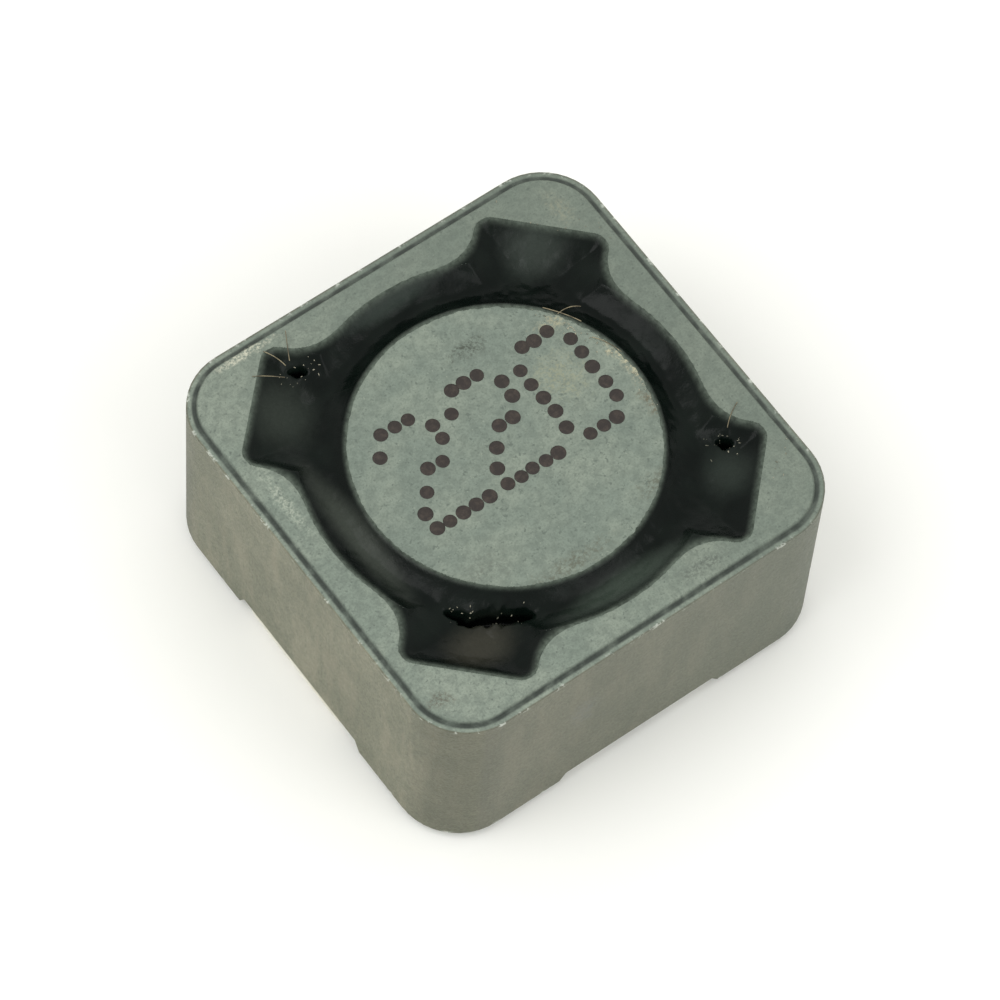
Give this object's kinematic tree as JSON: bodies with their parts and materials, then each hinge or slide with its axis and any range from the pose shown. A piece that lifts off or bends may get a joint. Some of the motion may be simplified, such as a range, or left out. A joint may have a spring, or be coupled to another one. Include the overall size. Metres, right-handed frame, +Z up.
{
  "type": "shielded smd inductor",
  "caption": "Square grey ferrite surface-mount power inductor with a round drum core potted in black resin and plated solder feet underneath.",
  "frame": {"origin": "on the board, under the middle of the part: the plane of the two solder feet's undersides", "axes": "+Z up from the board to the flat top, +X through the two wide solder feet, +Y along the slot between the two terminal plates"},
  "size_m": [0.012, 0.012, 0.006],
  "materials": {
    "ferrite_ring": "matt",
    "ferrite_drum": "matt",
    "copper_wire": "gloss enamel",
    "tinned_sheet": "satin",
    "solder": "satin",
    "print_ink": "matte",
    "black_resin": "gloss",
    "plate_glue": "gloss"
  },
  "bodies": {
    "root": {"shield_ring": "ferrite_ring", "drum_core": "ferrite_drum", "winding": "copper_wire", "terminal_left": "tinned_sheet", "terminal_right": "tinned_sheet", "plate_glue_left": "plate_glue", "plate_glue_right": "plate_glue", "solder_left": "solder", "solder_right": "solder", "lead_resin_left": "black_resin", "lead_resin_right": "black_resin", "potting_resin": "black_resin"}
  },
  "joints": []
}
